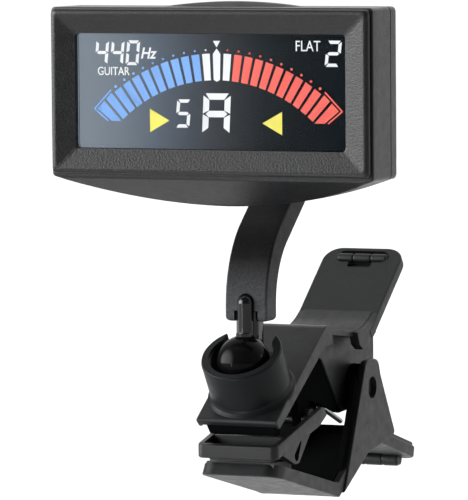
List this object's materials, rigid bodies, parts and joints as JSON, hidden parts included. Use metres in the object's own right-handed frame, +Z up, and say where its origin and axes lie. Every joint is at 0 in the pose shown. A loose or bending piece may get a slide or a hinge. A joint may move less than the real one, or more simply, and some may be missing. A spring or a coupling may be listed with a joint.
{
  "type": "clip on tuner",
  "caption": "Clip-on instrument tuner: a wide display head on a curved arm with two ball joints, held by a sprung clip with padded jaws.",
  "frame": {"origin": "middle of the jaws' grip, on the face of the lower pad", "axes": "+Z up along the arm, -Y towards the player who reads the display, +X to that player's right"},
  "size_m": [0.071, 0.0933, 0.1058],
  "materials": {
    "housing": "fine moulded grain",
    "clip_plastic": "satin moulded grain",
    "arm_plastic": "satin",
    "gloss_black": "polished",
    "seat_plastic": "smooth",
    "button_rubber": "soft touch",
    "pad_rubber": "matt",
    "window": "clear, gloss",
    "lcd": "dark colour display",
    "diffuser": "white diffuser",
    "strip_rubber": "elastomer",
    "board": "solder mask",
    "chip_plastic": "epoxy",
    "switch_metal": "pressed steel",
    "brass": "bright",
    "cell_steel": "nickel plated",
    "pin_steel": "dark steel",
    "spring_steel": "bright wire",
    "screw_steel": "zinc plated"
  },
  "bodies": {
    "clip": {"upper_jaw": "clip_plastic", "ball_seat": "seat_plastic", "hinge_pin": "pin_steel", "torsion_spring": "spring_steel"},
    "lower_jaw": {"lower_jaw": "clip_plastic", "lower_pad": "pad_rubber"},
    "grip_shoe": {"grip_shoe": "clip_plastic", "upper_pad": "pad_rubber", "shoe_pin": "pin_steel"},
    "lower_ball": {"lower_ball": "gloss_black"},
    "arm": {"arm": "arm_plastic", "lower_stem": "gloss_black", "upper_stem": "gloss_black"},
    "upper_ball": {"upper_ball": "gloss_black"},
    "head": {"front_housing": "housing", "rear_housing": "housing", "display_window": "window", "lcd_panel": "lcd", "backlight": "diffuser", "connector_strip": "strip_rubber", "circuit_board": "board", "processor_chip": "chip_plastic", "tact_switches": "switch_metal", "piezo_disc": "brass", "coin_cell": "cell_steel", "contact_minus": "brass", "contact_plus": "brass", "ball_retainer": "seat_plastic", "retainer_screws": "screw_steel", "housing_screws": "screw_steel"},
    "battery_cover": {"battery_cover": "housing"},
    "power_button": {"power_button": "button_rubber"},
    "mode_button": {"mode_button": "button_rubber"},
    "pitch_button": {"pitch_button": "button_rubber"},
    "flat_button": {"flat_button": "button_rubber"}
  },
  "joints": [
    {"name": "jaw_hinge", "type": "hinge", "parent": "clip", "child": "lower_jaw", "pos_m": [0, 0.0449, 0.0109], "axis": [1, 0, 0], "range_deg": [0, 20], "stiffness_Nm_per_rad": 0.04, "springref_deg": -28.65, "deforming": ["torsion_spring"]},
    {"name": "shoe_swivel", "type": "hinge", "parent": "clip", "child": "grip_shoe", "pos_m": [0, 0.0147, 0.0071], "axis": [-1, 0, 0], "range_deg": [0, 5]},
    {"name": "lower_ball_tilt", "type": "hinge", "parent": "clip", "child": "lower_ball", "pos_m": [0, -0.0024, 0.0205], "axis": [-1, 0, 0], "range_deg": [-45, 30]},
    {"name": "arm_turn", "type": "hinge", "parent": "lower_ball", "child": "arm", "pos_m": [0, -0.0024, 0.0205], "axis": [0, 0, 1], "range_deg": [-90, 90]},
    {"name": "head_roll", "type": "hinge", "parent": "arm", "child": "upper_ball", "pos_m": [0, -0.0026, 0.07298], "axis": [0, 1, 0], "range_deg": [-90, 90]},
    {"name": "head_tilt", "type": "hinge", "parent": "upper_ball", "child": "head", "pos_m": [0, -0.0026, 0.07298], "axis": [1, 0, 0], "range_deg": [-25, 25]},
    {"name": "power_press", "type": "slide", "parent": "head", "child": "power_button", "axis": [0, 0, -1], "range_m": [0, 0.0005], "stiffness_N_per_m": 1200, "springref_m": -0.0002},
    {"name": "mode_press", "type": "slide", "parent": "head", "child": "mode_button", "axis": [0, -1, 0], "range_m": [0, 0.0004], "stiffness_N_per_m": 1200, "springref_m": -0.0002},
    {"name": "pitch_press", "type": "slide", "parent": "head", "child": "pitch_button", "axis": [0, -1, 0], "range_m": [0, 0.0004], "stiffness_N_per_m": 1200, "springref_m": -0.0002},
    {"name": "flat_press", "type": "slide", "parent": "head", "child": "flat_button", "axis": [0, -1, 0], "range_m": [0, 0.0004], "stiffness_N_per_m": 1200, "springref_m": -0.0002},
    {"name": "battery_slide", "type": "slide", "parent": "head", "child": "battery_cover", "axis": [-1, 0, 0], "range_m": [0, 0.022]}
  ]
}
